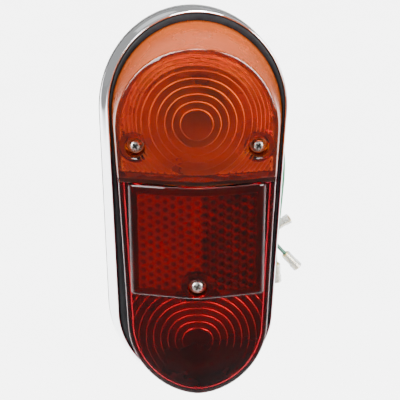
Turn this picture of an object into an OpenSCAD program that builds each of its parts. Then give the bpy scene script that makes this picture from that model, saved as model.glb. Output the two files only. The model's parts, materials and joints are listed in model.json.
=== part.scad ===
// Combination rear lamp: an amber indicator over a red stop, tail and reflex lamp.
// Units are millimetres. The lamp looks along -Y and its back face lies on Y = 0, with
// +Z up and +X to the right of someone looking at the lenses. Each module is one node.

/* [Outline] */
// Widest half width of the lens flange, in the amber part
lens_half_top = 38.8; // [34:0.1:45]
// Half width of the lens flange at the start of the bottom arch
lens_half_bottom = 33.4; // [30.5:0.1:38]
// Height of the lens flange's highest point
lens_top_z = 91.6; // [84:0.1:104]
// Height of the lens flange's lowest point
lens_bottom_z = -87.6; // [-100:0.1:-80]
// How much wider than the lens the bezel's foot is, on each side
foot_flare = 5.2; // [4:0.1:7]
// How far the foot is set over to the left at the bottom of the lamp
foot_skew = 3.7; // [0:0.1:5]

/* [Depths] */
// Thickness of the foam gasket on the mounting face
base_gasket_t = 2.5; // [1.5:0.1:4]
// Depth of the lens flange in front of the mounting face
flange_depth = 12; // [10.5:0.1:14]
// Height of the lens ridge over its flange
lens_rise = 33; // [30:0.1:38]
// How much lower the lens front lies at 30 mm from the ridge
roof_fall = 6.1; // [4:0.1:8]
// How far the bezel's lip stands in front of the lens flange
lip_rise = 1.9; // [1:0.1:3]

/* [Lenses] */
// Wall of both lenses
lens_wall = 2.4; // [1.8:0.1:3]
// Height of the joint between the lenses
seam_z = 27; // [24:0.1:30]
// How far the amber lens laps over the red one
lap = 2; // [1:0.1:3]
// How far the red block stands proud of the lens front
block_proud = 1.2; // [0.6:0.1:2]
// Half width of the red block
block_half = 31.2; // [28:0.1:32]
// Bottom edge of the red block
block_bottom_z = -28.6; // [-32:0.1:-26]
// Width of the reflex panel
reflex_w = 53; // [44:0.5:56]
// Height of the reflex panel
reflex_h = 46; // [40:0.5:48]
// Pitch of the reflex cells
cell_pitch = 4; // [3:0.1:6]

/* [Screws] */
// Distance between the amber lens screws
amber_screw_spacing = 54; // [50:0.5:56]
// Height of the amber lens screws
amber_screw_z = 41; // [39:0.5:44]
// Height of the red lens screw
red_screw_z = -23.5; // [-26:0.5:-22]
// Radius of the lens screws' shanks
screw_r = 1.5; // [1.25:0.05:2]
// Radius of the amber screws' heads
amber_head_r = 2.7; // [2.3:0.1:3]
// Radius of the red screw's head
red_head_r = 3.1; // [2.7:0.1:3.4]

/* [Bulbs] */
// Height of the indicator bulb's axis
amber_bulb_z = 52.5; // [51:0.1:56]
// Height of the stop and tail bulb's axis
red_bulb_z = -51.5; // [-56:0.1:-48]
// Radius of the bayonet cap
cap_r = 7.5; // [7:0.05:8]
// Largest radius of the bulb's glass
glass_r = 12.5; // [9:0.1:13]
// Bulb length from the cap's rim to the tip of the glass
bulb_length = 46; // [40:0.5:48]
// Travel of the sprung contact disc
push_travel = 1.5; // [1:0.1:2]
// Turn from the locked place to the open one, in degrees
bayonet_turn = 20; // [15:1:30]

/* [Mounting] */
// Distance between the mounting studs
stud_spacing = 150; // [146:0.5:156]
// Radius of the studs at the panel
stud_r = 3; // [2.5:0.1:3.5]
// Length of the studs behind the mounting face
stud_length = 20; // [16:0.5:26]

/* [Hidden] */
$fn = 48;
e = 0.01;
// steps round an outline, and the wall of the pan and the bezel
outline_n = 64;
pan_t = 1.2;
bezel_t = 1.6;
lip_t = 1;
seal_gap = 0.3;
run_fit = 0.06;

// An arch is [half width, half height, centre x, centre z] of an ellipse. An outline is the
// smallest closed curve round two of them, one at the top of the lamp and one at the bottom.
function reach(a, f) = sqrt(pow(a[0] * cos(f), 2) + pow(a[1] * sin(f), 2));
function support(a, f) = reach(a, f) + a[2] * cos(f) + a[3] * sin(f);
function touch(a, f) = [a[2] + a[0] * a[0] * cos(f) / reach(a, f),
                        a[3] + a[1] * a[1] * sin(f) / reach(a, f)];
function outline(top, bottom, n = outline_n) =
    [for (i = [0:n - 1]) let (f = (i + 0.5) * 360 / n)
        support(top, f) > support(bottom, f) ? touch(top, f) : touch(bottom, f)];
function grown(a, d) = [a[0] + d, a[1] + d, a[2], a[3]];
function mixed(a, b, t) = a * (1 - t) + b * t;

// Lens flange arches, then the arches at the ridge's height, where draft has narrowed them
flange_top = [lens_half_top, 44, 0, lens_top_z - 44];
flange_bottom = [lens_half_bottom, 30, 0, lens_bottom_z + 30];
ridge_top = [lens_half_top - 4.2, 37.1, 0, lens_top_z - 5.9 - 37.1];
ridge_bottom = [lens_half_bottom - 1.3, 37, 0, lens_bottom_z + 9.3 + 37];
// Bezel lip and foot. The foot is set over to the left, more so at the bottom.
lip_top = [lens_half_top + 1.3, 43.6, 0.2, lens_top_z + 3.6 - 43.6];
lip_bottom = [lens_half_bottom + 3.7, 38.9, -1.2, lens_bottom_z - 2.6 + 38.9];
foot_top = [lens_half_top + foot_flare - 1.2, 48.3, -2.3, lens_top_z + 4.6 - 48.3];
foot_bottom = [lens_half_bottom + foot_flare + 1.8, 46.3, -foot_skew, lens_bottom_z - 7.7 + 46.3];

// Depths along Y
flange_y = -flange_depth;
ridge_y = flange_y - lens_rise;
lip_y = flange_y - lip_rise;
pan_front_y = -base_gasket_t - pan_t;
pan_rim_y = flange_y + 2.5;
// Lens front: distance from the mounting face at x, a rounded ridge with two flat flanks
ridge_round = 3;
roof_slope = roof_fall / (sqrt(30 * 30 + ridge_round * ridge_round) - ridge_round);
function roof(x, drop = 0) =
    ridge_y + drop + roof_slope * (sqrt(x * x + ridge_round * ridge_round) - ridge_round);

// Lens screws
amber_screw_x = amber_screw_spacing / 2;
amber_seat_y = roof(amber_screw_x) + 6.5;
red_seat_y = roof(0) + 4;
washer_t = 0.8;
well_r = 4.4;
well_wall = 2.5;
head_h = 2.4;
pillar_r = 3.6;
pillar_gap = 0.3;
screw_in_pillar = 9;

// Bulbs and their holders. cap_rear_y is where the contact disc meets the bulb.
cap_rear_y = ridge_y + lens_wall + 6 + bulb_length;
cap_length = 15;
pin_s = 7;
pin_r = 1;
holder_r = cap_r + run_fit + 0.85;
holder_front_y = cap_rear_y - cap_length - 1.5;
disc_t = 2;
spring_room = 5;
holder_rear_y = cap_rear_y + disc_t + spring_room;
holder_wall = 0.9;
collar_r = 12.5;
boot_wall = 1.4;
boot_rear_y = holder_rear_y + 3;
nipple_y = holder_rear_y - 3.5;
lead_r = 0.95;
nipple_r = 2.3;
contact_x = 3.2;
panel_hole_r = holder_r + boot_wall + 1.5;

// Studs, with a plain shank that runs through the panel and a thread behind it
stud_mid_z = 1;
stud_z = [stud_mid_z + stud_spacing / 2, stud_mid_z - stud_spacing / 2];
shank_length = 7;
thread_r = stud_r - 0.1;
stud_head_r = 6;
flat_washer_t = 1.2;
spring_washer_t = 1.5;
nut_h = 5;
nut_r = stud_r * 10 / 3 / sqrt(3);
washer_y = shank_length + 0.6;
nut_y = washer_y + flat_washer_t + 0.1 + spring_washer_t + 0.3;

// Leads: their run, in points behind the mounting face, from boot to receptacle
terminal_r = 1.7;
sleeve_r = 1.95;
sleeve_lip_r = 2.6;
terminal_length = 11;
boot_side = holder_r + boot_wall;
nipple_end = boot_side + 5;
indicator_run = [
    [nipple_end, nipple_y, amber_bulb_z], [17.2, nipple_y, amber_bulb_z], [21.2, 12.8, 51.8],
    [25.8, 12.2, 50], [30.4, 11.3, 47], [34.6, 10.3, 42.6], [38.1, 9.2, 36.8], [40.6, 8.1, 30],
    [41.7, 7.1, 22.4], [41.9, 6.3, 14], [41.4, 6, 5], [40.8, 6, -4], [40.1, 6, -13],
    [39.4, 6, -21], [39, 6, -28], [39.4, 6, -34]];
stop_run = [
    [5, nipple_y, red_bulb_z + nipple_end], [5, nipple_y, -34.4], [5.1, 13.2, -31.6],
    [5.6, 13.8, -28.2], [6.6, 14.1, -24.6], [8.2, 14, -20.8], [10.5, 13.5, -17.2],
    [13.5, 12.8, -14.2], [17.2, 12.3, -12.2], [21.3, 12, -11.6], [25.4, 12, -12.6],
    [29, 12, -14.8], [32.2, 12, -17.7], [35.2, 12, -20.9], [38.1, 12, -24.2],
    [41.2, 12, -27.7], [44.5, 12, -31.4]];
tail_run = [
    [-5, nipple_y, red_bulb_z + nipple_end], [-5, nipple_y, -34.4], [-5, 13.5, -31.4],
    [-4.8, 15, -28.6], [-4.2, 16.8, -26], [-3, 18.2, -23.5], [-1.1, 19.1, -21.3],
    [1.5, 19.5, -19.7], [4.8, 19.6, -19], [8.3, 19.6, -19.4], [11.7, 19.5, -21],
    [15.5, 19.5, -23.3], [19.7, 19.4, -25.4], [24, 19.2, -26.5], [28, 18.8, -26.2],
    [31.7, 18.3, -24.6], [35.1, 18, -22.4], [38.5, 18, -20.1]];

// One ring of a tube, square to its run at point i
function heading(run, i) =
    let (d = run[min(i + 1, len(run) - 1)] - run[max(i - 1, 0)]) d / norm(d);
function ring(run, i, r, sides) =
    let (t = heading(run, i), s = cross(t, [0, 1, 0.05]), u = s / norm(s), v = cross(t, u))
    [for (k = [0:sides - 1]) run[i] + r * (u * cos(k * 360 / sides) + v * sin(k * 360 / sides))];

// A closed skin through rings of the same count
module skin(rings) {
    n = len(rings[0]);
    m = len(rings);
    polyhedron(
        points = [for (g = rings) for (p = g) p],
        faces = concat(
            [[for (k = [0:n - 1]) k]],
            [for (i = [0:m - 2]) for (k = [0:n - 1]) let (a = i * n + k, b = i * n + (k + 1) % n)
                [a, b + n, b]],
            [for (i = [0:m - 2]) for (k = [0:n - 1]) let (a = i * n + k, b = i * n + (k + 1) % n)
                [a, a + n, b + n]],
            [[for (k = [n - 1:-1:0]) (m - 1) * n + k]]),
        convexity = 6);
}

// A ring-shaped skin. Its closed section is a list of [depth, top arch, bottom arch].
module band(section) {
    n = outline_n;
    m = len(section);
    loops = [for (s = section) [for (p = outline(s[1], s[2])) [p[0], s[0], p[1]]]];
    polyhedron(
        points = [for (g = loops) for (p = g) p],
        faces = [for (i = [0:m - 1]) for (k = [0:n - 1]) for (half = [0, 1])
            let (a = i * n + k, b = i * n + (k + 1) % n, up = (i == m - 1) ? n - m * n : n)
            half == 0 ? [a, b + up, b] : [a, a + up, b + up]],
        convexity = 6);
}

// Joins what it holds into one faceted skin
module one_skin() {
    resize([0, 0, 0]) children();
}

module tube(run, r, sides = 8) {
    skin([for (i = [0:len(run) - 1]) ring(run, i, r, sides)]);
}

// A solid between two outlines, from depth y1 back to depth y0
module loft(y0, top0, bottom0, y1, top1, bottom1) {
    a = outline(top0, bottom0);
    b = outline(top1, bottom1);
    skin([[for (p = a) [p[0], y0, p[1]]], [for (p = b) [p[0], y1, p[1]]]]);
}

// A flat plate with an outline, from y0 back to the nearer y1
module plate(top, bottom, y0, y1) {
    translate([0, y0, 0]) rotate([90, 0, 0])
        linear_extrude(y0 - y1) polygon(outline(top, bottom));
}

// A rod along Y from y0 to y1, at x and z
module rod(r, y0, y1, x = 0, z = 0) {
    translate([x, max(y0, y1), z]) rotate([90, 0, 0]) cylinder(r = r, h = abs(y1 - y0));
}

module pipe(r, bore, y0, y1, x = 0, z = 0) {
    difference() {
        rod(r, y0, y1, x, z);
        rod(bore, max(y0, y1) + e, min(y0, y1) - e, x, z);
    }
}

// Everything behind the lens front, between two heights
module under_roof(drop, z0, z1, half = 50) {
    steps = 16;
    translate([0, 0, z0]) linear_extrude(z1 - z0)
        polygon(concat([[half, 5], [-half, 5]],
            [for (i = [0:steps]) let (x = -half + i * 2 * half / steps) [x, roof(x, drop)]]));
}

// The lens body shrunk by d, cut by its front and by two heights
module lens_solid(d, z0, z1, y0 = flange_y) {
    t = (lens_rise + 1) / lens_rise;
    far_top = mixed(flange_top, ridge_top, t);
    far_bottom = mixed(flange_bottom, ridge_bottom, t);
    intersection() {
        loft(y0, grown(flange_top, -d), grown(flange_bottom, -d),
             ridge_y - 1, grown(far_top, -d), grown(far_bottom, -d));
        under_roof(d, z0, z1);
    }
}

module lens_screw_holes(x, z, seat_y, y_back) {
    rod(well_r, seat_y, ridge_y - 5, x, z);
    rod(screw_r + 0.3, y_back, seat_y - e, x, z);
}

// ---- mounting ----

module base_gasket() {
    color([0.05, 0.05, 0.055]) difference() {
        plate(grown(foot_top, 0.4), grown(foot_bottom, 0.4), 0, -base_gasket_t);
        for (z = stud_z) rod(stud_r + 1.6, 1, -base_gasket_t - 1, 0, z);
        for (z = [amber_bulb_z, red_bulb_z]) rod(panel_hole_r, 1, -base_gasket_t - 1, 0, z);
    }
}

module mounting_studs() {
    color([0.75, 0.74, 0.7]) for (z = stud_z) {
        rod(stud_head_r, pan_front_y, pan_front_y - 1.5, 0, z);
        rod(stud_r - 0.2, pan_front_y - e, -base_gasket_t + e, 0, z);
        rod(stud_r, -base_gasket_t, shank_length, 0, z);
        rod(thread_r, shank_length - e, stud_length, 0, z);
    }
}

module flat_washers() {
    color([0.75, 0.74, 0.7]) for (z = stud_z)
        pipe(stud_r * 2.1, stud_r + 0.2, washer_y, washer_y + flat_washer_t, 0, z);
}

module spring_washers() {
    y = washer_y + flat_washer_t + 0.1;
    color([0.6, 0.6, 0.58]) for (z = stud_z) difference() {
        pipe(stud_r * 1.75, stud_r + 0.15, y, y + spring_washer_t, 0, z);
        translate([stud_r, y - 1, z]) rotate([0, 0, 20]) cube([stud_r, 5, 0.8]);
    }
}

module nut(z) {
    difference() {
        translate([0, nut_y + nut_h, z]) rotate([90, 0, 0]) intersection() {
            cylinder(r = nut_r, h = nut_h, $fn = 6);
            cylinder(r1 = nut_r * 0.93, r2 = nut_r * 1.15, h = nut_h);
        }
        rod(thread_r + 0.05, nut_y - 1, nut_y + nut_h + 1, 0, z);
    }
}

module upper_nut() {
    color([0.78, 0.76, 0.7]) nut(stud_z[0]);
}

module lower_nut() {
    color([0.78, 0.76, 0.7]) nut(stud_z[1]);
}

// ---- body ----

module base_pan() {
    rim_top = grown(lip_top, -0.4);
    rim_bottom = grown(lip_bottom, -0.4);
    floor_top = grown(flange_top, -4.5);
    floor_bottom = grown(flange_bottom, -4.5);
    color([0.86, 0.86, 0.83]) difference() {
        union() {
            plate(rim_top, rim_bottom, pan_rim_y, pan_rim_y - pan_t);
            plate(grown(flange_top, -3.3), grown(flange_bottom, -3.3), -base_gasket_t, pan_rim_y - e);
        }
        plate(floor_top, floor_bottom, pan_front_y, pan_rim_y - pan_t - 1);
        for (z = stud_z) rod(stud_r - 0.15, 0, -10, 0, z);
        for (z = [amber_bulb_z, red_bulb_z]) rod(cap_r + 1.9, 0, -10, 0, z);
    }
}

// Chrome plinth: an open ring with a rolled lip, wide at its foot
module bezel() {
    foot_y = -base_gasket_t;
    mid_y = foot_y - 6.5;
    edge_top = grown(lip_top, lip_t);
    edge_bottom = grown(lip_bottom, lip_t);
    mid_top = mixed(foot_top, edge_top, 0.35);
    mid_bottom = mixed(foot_bottom, edge_bottom, 0.35);
    color([0.82, 0.84, 0.87]) band([
        [foot_y, foot_top, foot_bottom],
        [foot_y - 1.6, foot_top, foot_bottom],
        [mid_y, mid_top, mid_bottom],
        [lip_y + 0.9, edge_top, edge_bottom],
        [lip_y + 0.25, grown(edge_top, -0.15), grown(edge_bottom, -0.15)],
        [lip_y, grown(lip_top, 0.5), grown(lip_bottom, 0.5)],
        [lip_y + 0.3, lip_top, lip_bottom],
        [pan_rim_y + 0.3, lip_top, lip_bottom],
        [foot_y - 1.6, grown(foot_top, -bezel_t), grown(foot_bottom, -bezel_t)],
        [foot_y, grown(foot_top, -bezel_t), grown(foot_bottom, -bezel_t)]]);
}

// Rubber seal that the lens flange is pressed into
module lens_seal() {
    outer_top = grown(lip_top, -0.2);
    outer_bottom = grown(lip_bottom, -0.2);
    inner_top = grown(flange_top, seal_gap);
    inner_bottom = grown(flange_bottom, seal_gap);
    seat_y = pan_rim_y - pan_t - 0.05;
    color([0.04, 0.04, 0.045]) band([
        [seat_y, outer_top, outer_bottom],
        [flange_y - 0.5, outer_top, outer_bottom],
        [flange_y - 1, grown(outer_top, -0.4), grown(outer_bottom, -0.4)],
        [flange_y - 0.6, inner_top, inner_bottom],
        [flange_y + seal_gap, inner_top, inner_bottom],
        [flange_y + seal_gap, grown(flange_top, -4), grown(flange_bottom, -4)],
        [seat_y, grown(flange_top, -4), grown(flange_bottom, -4)]]);
}

module chamber_divider() {
    half = lens_half_top - 8;
    color([0.86, 0.86, 0.83]) translate([-half, 0, seam_z]) {
        translate([0, flange_y + 0.4, -0.5]) cube([2 * half, pan_front_y - flange_y - 0.4, 1]);
        translate([0, pan_front_y - 1, 0]) cube([2 * half, 1, 7]);
    }
}

module pillar(x, z, top_y) {
    difference() {
        union() {
            rod(pillar_r, pan_front_y, top_y, x, z);
            rod(pillar_r + 1.8, pan_front_y, pan_front_y - 1.5, x, z);
        }
        rod(screw_r + run_fit, top_y + screw_in_pillar + 1, top_y - 1, x, z);
    }
}

module amber_pillars() {
    color([0.78, 0.76, 0.7]) for (s = [-1, 1])
        pillar(s * amber_screw_x, amber_screw_z, amber_seat_y + lens_wall + pillar_gap);
}

module red_pillar() {
    color([0.78, 0.76, 0.7]) pillar(0, red_screw_z, red_seat_y + lens_wall + pillar_gap);
}

// ---- lenses ----

module amber_lens() {
    inner_z = seam_z + lens_wall;
    color([0.95, 0.4, 0.03, 0.75]) difference() {
        one_skin() {
            difference() {
                lens_solid(0, seam_z, 120);
                lens_solid(lens_wall, inner_z, 120, flange_y + 1);
            }
            // the lap over the red lens
            difference() {
                lens_solid(0, seam_z - lap, seam_z + 0.5);
                lens_solid(1.1, seam_z - lap - 1, seam_z, flange_y + 1);
                translate([-50, flange_y - 6, seam_z - lap - 1]) cube([100, 20, lap + 1]);
            }
            // the screw wells' walls and floors
            intersection() {
                lens_solid(0, seam_z, 120);
                for (s = [-1, 1])
                    rod(well_r + well_wall, amber_seat_y + lens_wall, ridge_y,
                        s * amber_screw_x, amber_screw_z);
            }
        }
        for (s = [-1, 1])
            lens_screw_holes(s * amber_screw_x, amber_screw_z, amber_seat_y,
                             amber_seat_y + lens_wall + 1);
    }
}

reflex_z = seam_z - lap - 5.5 - reflex_h / 2;

// Section of the raised block: the roof stood proud, with eased side edges
function block_section(edge = 1.4) = concat(
    [[block_half, roof(block_half) - block_proud + edge],
     [block_half - 0.4, roof(block_half) - block_proud + 0.4]],
    [for (i = [10:-1:-10]) let (x = i / 10 * (block_half - edge)) [x, roof(x) - block_proud]],
    [[-block_half + 0.4, roof(block_half) - block_proud + 0.4],
     [-block_half, roof(block_half) - block_proud + edge]],
    [for (i = [-10:10]) let (x = i / 10 * block_half) [x, roof(x) + 1]]);

module red_lens() {
    z_top = seam_z - seal_gap;
    block_top_z = seam_z - lap - seal_gap;
    color([0.7, 0.02, 0.02, 0.75]) difference() {
        one_skin() {
            difference() {
                lens_solid(0, -120, z_top);
                lens_solid(lens_wall, -120, z_top - lens_wall, flange_y + 1);
                // room for the lap of the amber lens
                difference() {
                    under_roof(-2, block_top_z, seam_z + 1);
                    lens_solid(1.4, block_top_z - 1, seam_z + 2, flange_y + 1);
                    translate([-60, flange_y - 5.6, block_top_z - 1]) cube([120, 40, 10]);
                }
            }
            translate([0, 0, block_bottom_z]) linear_extrude(block_top_z - block_bottom_z)
                polygon(block_section());
            // boss round the screw
            intersection() {
                under_roof(-block_proud, red_screw_z - 10, red_screw_z + 10);
                rod(well_r + well_wall, red_seat_y + lens_wall, ridge_y - 3, 0, red_screw_z);
            }
        }
        lens_screw_holes(0, red_screw_z, red_seat_y, red_seat_y + lens_wall + 1);
    }
}

// Reflector plate behind the block: a web of hexagonal cells on each flank of the ridge
module reflex_insert() {
    front = lens_wall + 0.15;
    web = 0.5;
    rows = floor(reflex_h / cell_pitch / 2) + 1;
    columns = floor(reflex_w / cell_pitch / 2 / 0.866) + 1;
    half_w = reflex_w / 2;
    color([0.75, 0.05, 0.04, 0.85]) difference() {
        intersection() {
            difference() {
                under_roof(front, reflex_z - reflex_h / 2, reflex_z + reflex_h / 2, half_w);
                under_roof(front + 2.2, reflex_z - reflex_h, reflex_z + reflex_h, half_w + 2);
            }
            translate([0, 0, reflex_z]) rotate([90, 0, 0]) linear_extrude(60) difference() {
                square([reflex_w, reflex_h], center = true);
                translate([0, red_screw_z - reflex_z]) circle(well_r + well_wall + 0.6);
            }
        }
        translate([0, 0, reflex_z]) rotate([90, 0, 0])
            translate([0, 0, -roof(0) - front - 2.2 - roof_fall]) linear_extrude(roof_fall + 1)
            intersection() {
                difference() {
                    square([reflex_w - 3, reflex_h - 3], center = true);
                    translate([0, red_screw_z - reflex_z]) circle(well_r + well_wall + 1.8);
                }
                union() for (i = [-columns:columns]) for (j = [-rows:rows])
                    translate([i * cell_pitch * 0.866, (j + (i % 2 == 0 ? 0 : 0.5)) * cell_pitch])
                        circle(r = (cell_pitch - web) / sqrt(3), $fn = 6);
            }
    }
}

// ---- lens screws ----

module lens_screw(head_r, x, z, seat_y) {
    y = seat_y - washer_t - 0.05;
    tip = seat_y + lens_wall + pillar_gap + screw_in_pillar - 1;
    difference() {
        union() {
            rod(screw_r, tip, y - e, x, z);
            intersection() {
                rod(head_r, y, y - head_h, x, z);
                translate([x, y + head_r * 0.75, z]) sphere(r = head_r * 1.5);
            }
        }
        for (turn = [0, 90]) translate([x, y - head_h, z]) rotate([0, turn + 45, 0])
            cube([head_r * 1.2, 2.2, 0.8], center = true);
        translate([x, y - head_h + 1.7, z]) rotate([90, 0, 0]) cylinder(r1 = 0.1, r2 = 0.85, h = 1.8);
    }
}

module left_amber_screw() {
    color([0.8, 0.8, 0.78]) lens_screw(amber_head_r, -amber_screw_x, amber_screw_z, amber_seat_y);
}

module right_amber_screw() {
    color([0.8, 0.8, 0.78]) lens_screw(amber_head_r, amber_screw_x, amber_screw_z, amber_seat_y);
}

module red_screw() {
    color([0.8, 0.8, 0.78]) lens_screw(red_head_r, 0, red_screw_z, red_seat_y);
}

module amber_washers() {
    color([0.12, 0.1, 0.09]) for (s = [-1, 1])
        pipe(amber_head_r + 0.9, screw_r + 0.25, amber_seat_y - 0.02, amber_seat_y - washer_t,
             s * amber_screw_x, amber_screw_z);
}

module red_washer() {
    color([0.12, 0.1, 0.09])
        pipe(red_head_r + 0.8, screw_r + 0.25, red_seat_y - 0.02, red_seat_y - washer_t, 0, red_screw_z);
}

// ---- bulb holders ----

// Bayonet slots: a way in along Y, then a wide place that the pins turn and sink in
module bayonet_slots() {
    half = pin_r + 0.2;
    pin_y = cap_rear_y - pin_s;
    deep_y = pin_y + half + push_travel;
    wide = holder_r * sin(bayonet_turn / 2) + half;
    for (side = [0, 180]) {
        rotate([0, side - bayonet_turn, 0]) translate([cap_r - 1, holder_front_y - 1, -half])
            cube([3, deep_y - 0.1 - holder_front_y + 1, 2 * half]);
        rotate([0, side - bayonet_turn / 2, 0]) translate([cap_r - 1, pin_y - half, -wide])
            cube([3, deep_y - pin_y + half, 2 * wide]);
    }
}

module holder(z) {
    translate([0, 0, z]) difference() {
        rotate([0, 60, 0]) difference() {
            union() {
                rod(holder_r, holder_front_y, holder_rear_y);
                rod(collar_r, pan_front_y, pan_front_y - 1);
            }
            rod(cap_r + run_fit, holder_front_y - 1, holder_rear_y - holder_wall);
            rod(5.5, holder_rear_y - 2, holder_rear_y + 1);
        }
        bayonet_slots();
    }
}

module amber_holder() {
    color([0.8, 0.78, 0.7]) holder(amber_bulb_z);
}

module red_holder() {
    color([0.8, 0.78, 0.7]) holder(red_bulb_z);
}

// Rubber boot over the back of a holder, with one nipple for each lead.
// Each nipple is [x, angle]: its place beside the axis and its direction round it.
module boot(z, nipples) {
    front_y = cap_rear_y - pin_s + pin_r + push_travel + 0.8;
    difference() {
        union() {
            rod(boot_side, front_y, boot_rear_y, 0, z);
            for (n = nipples) translate([0, nipple_y, z]) rotate([0, n[1], 0])
                translate([0, 0, n[0]]) rotate([0, 90, 0]) cylinder(r = nipple_r, h = nipple_end);
        }
        rod(holder_r + 0.04, front_y - 1, holder_rear_y + 0.1, 0, z);
        for (n = nipples) translate([0, nipple_y, z]) rotate([0, n[1], 0])
            translate([holder_r - 1, 0, n[0]]) rotate([0, 90, 0])
            cylinder(r = 0.8, h = nipple_end - holder_r - 1);
    }
}

module amber_boot() {
    color([0.06, 0.06, 0.06]) boot(amber_bulb_z, [[0, 0]]);
}

module red_boot() {
    color([0.06, 0.06, 0.06]) boot(red_bulb_z, [[-5, -90], [5, -90]]);
}

// Sprung disc that carries the contacts
module contact_disc(z, holes) {
    difference() {
        rod(cap_r - 0.4, cap_rear_y + 0.3, cap_rear_y + disc_t, 0, z);
        for (x = holes) rod(1.35, cap_rear_y - 1, cap_rear_y + 5, x, z);
    }
}

module plunger(x, z) {
    rod(1.9, cap_rear_y + 0.3 - 0.02, cap_rear_y - 0.35, x, z);
    rod(1.3, cap_rear_y, cap_rear_y + disc_t + 2, x, z);
}

// Coil spring between the disc and the holder's rear wall
module contact_spring(z) {
    turns = 4;
    wire_r = 0.35;
    coil_r = cap_r - 1.1;
    y0 = cap_rear_y + disc_t + wire_r + 0.05;
    y1 = holder_rear_y - holder_wall - wire_r - 0.05;
    steps = 14;
    skin([for (i = [0:turns * steps]) let (f = i * 360 / steps, y = y0 + (y1 - y0) * i / (turns * steps))
        [for (k = [0:5]) let (g = k * 60)
            [(coil_r + wire_r * cos(g)) * cos(f), y + wire_r * sin(g),
             z + (coil_r + wire_r * cos(g)) * sin(f)]]]);
}

module amber_disc() {
    color([0.45, 0.27, 0.15]) contact_disc(amber_bulb_z, [0]);
}

module amber_plunger() {
    color([0.8, 0.62, 0.3]) plunger(0, amber_bulb_z);
}

module amber_spring() {
    color([0.7, 0.7, 0.7]) contact_spring(amber_bulb_z);
}

module red_disc() {
    color([0.45, 0.27, 0.15]) contact_disc(red_bulb_z, [-contact_x, contact_x]);
}

module red_plungers() {
    color([0.8, 0.62, 0.3]) for (x = [-contact_x, contact_x]) plunger(x, red_bulb_z);
}

module red_spring() {
    color([0.7, 0.7, 0.7]) contact_spring(red_bulb_z);
}

// ---- bulbs ----

module bulb_cap(z) {
    difference() {
        union() {
            rod(cap_r, cap_rear_y - 2, cap_rear_y - cap_length, 0, z);
            translate([0, cap_rear_y - pin_s, z]) rotate([0, 90, 0])
                cylinder(r = pin_r, h = 2 * cap_r + 2.4, center = true);
        }
        rod(cap_r - 0.5, cap_rear_y, cap_rear_y - cap_length - 1, 0, z);
    }
}

module bulb_insulator(z) {
    rod(cap_r - 0.55, cap_rear_y - 0.75, cap_rear_y - 4, 0, z);
}

module bulb_contact(x, z) {
    rod(1.7, cap_rear_y - 0.4, cap_rear_y - 0.72, x, z);
}

// Glass envelope with a hollow inside
module bulb_glass(z) {
    tip = cap_rear_y - bulb_length;
    mid = tip + glass_r;
    neck = cap_rear_y - cap_length + 6;
    module body(d) {
        translate([0, 0, z]) rotate([90, 0, 0]) rotate_extrude()
            polygon(concat(
                [[0, -neck + d], [cap_r - 0.65 - d, -neck + d], [cap_r - 0.65 - d, -cap_rear_y + cap_length + 1]],
                [for (f = [-54:12:90]) [max((glass_r - d) * cos(f), 0), -mid + (glass_r - d) * sin(f)]]));
    }
    difference() {
        body(0);
        body(0.6);
    }
}

// Filament wires on a glass mount
module filaments(z, xs) {
    base_y = cap_rear_y - cap_length + 6 - 0.7;
    coil_y = cap_rear_y - bulb_length + 14;
    rod(2.6, base_y, base_y - 7, 0, z);
    for (x = xs) {
        for (s = [-1, 1]) rod(0.3, base_y - 6.5, coil_y, x * 0.6 + s * 0.9, z + s * 2.2);
        translate([x * 0.6, coil_y, z]) rotate([0, -68, 0])
            cylinder(r = 0.45, h = 6, center = true);
    }
}

module amber_bulb_cap() {
    color([0.8, 0.68, 0.4]) translate([0, 0, amber_bulb_z]) bulb_cap(0);
}

module amber_bulb_insulator() {
    color([0.1, 0.1, 0.1]) bulb_insulator(amber_bulb_z);
}

module amber_bulb_contact() {
    color([0.7, 0.7, 0.68]) bulb_contact(0, amber_bulb_z);
}

module amber_bulb_glass() {
    color([0.9, 0.95, 0.95, 0.35]) bulb_glass(amber_bulb_z);
}

module amber_filament() {
    color([0.5, 0.5, 0.5]) filaments(amber_bulb_z, [0]);
}

module red_bulb_cap() {
    color([0.8, 0.68, 0.4]) bulb_cap(red_bulb_z);
}

module red_bulb_insulator() {
    color([0.1, 0.1, 0.1]) bulb_insulator(red_bulb_z);
}

module red_bulb_contacts() {
    color([0.7, 0.7, 0.68]) for (x = [-contact_x, contact_x]) bulb_contact(x, red_bulb_z);
}

module red_bulb_glass() {
    color([0.9, 0.95, 0.95, 0.35]) bulb_glass(red_bulb_z);
}

module red_filaments() {
    color([0.5, 0.5, 0.5]) filaments(red_bulb_z, [-3, 3]);
}

// ---- leads ----

// Places what lies along +Z at the end of a run, heading the way the run ends
module at_end(run) {
    last = run[len(run) - 1];
    d = last - run[len(run) - 2];
    translate(last) rotate([0, atan2(norm([d[0], d[1]]), d[2]), atan2(d[1], d[0])]) children();
}

module receptacle(run) {
    at_end(run) difference() {
        union() {
            translate([0, 0, 0.05]) cylinder(r = terminal_r, h = terminal_length - 0.8);
            translate([0, 0, terminal_length - 3.5]) cylinder(r = terminal_r + 0.15, h = 2);
        }
        translate([0, 0, 4]) cylinder(r = terminal_r - 0.45, h = terminal_length);
    }
}

module sleeve(run) {
    at_end(run) difference() {
        union() {
            translate([0, 0, 0.6]) cylinder(r = sleeve_r + 0.35, h = terminal_length - 1.6);
            translate([0, 0, terminal_length - 4]) cylinder(r = sleeve_lip_r, h = 3);
        }
        cylinder(r = sleeve_r, h = terminal_length * 2);
    }
}

module indicator_lead() {
    color([0.03, 0.3, 0.12]) tube(indicator_run, lead_r);
}

module stop_lead() {
    color([0.03, 0.12, 0.08]) tube(stop_run, lead_r);
}

module tail_lead() {
    color([0.1, 0.2, 0.12]) tube(tail_run, lead_r);
}

module indicator_receptacle() {
    color([0.75, 0.68, 0.5]) receptacle(indicator_run);
}

module stop_receptacle() {
    color([0.75, 0.68, 0.5]) receptacle(stop_run);
}

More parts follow.
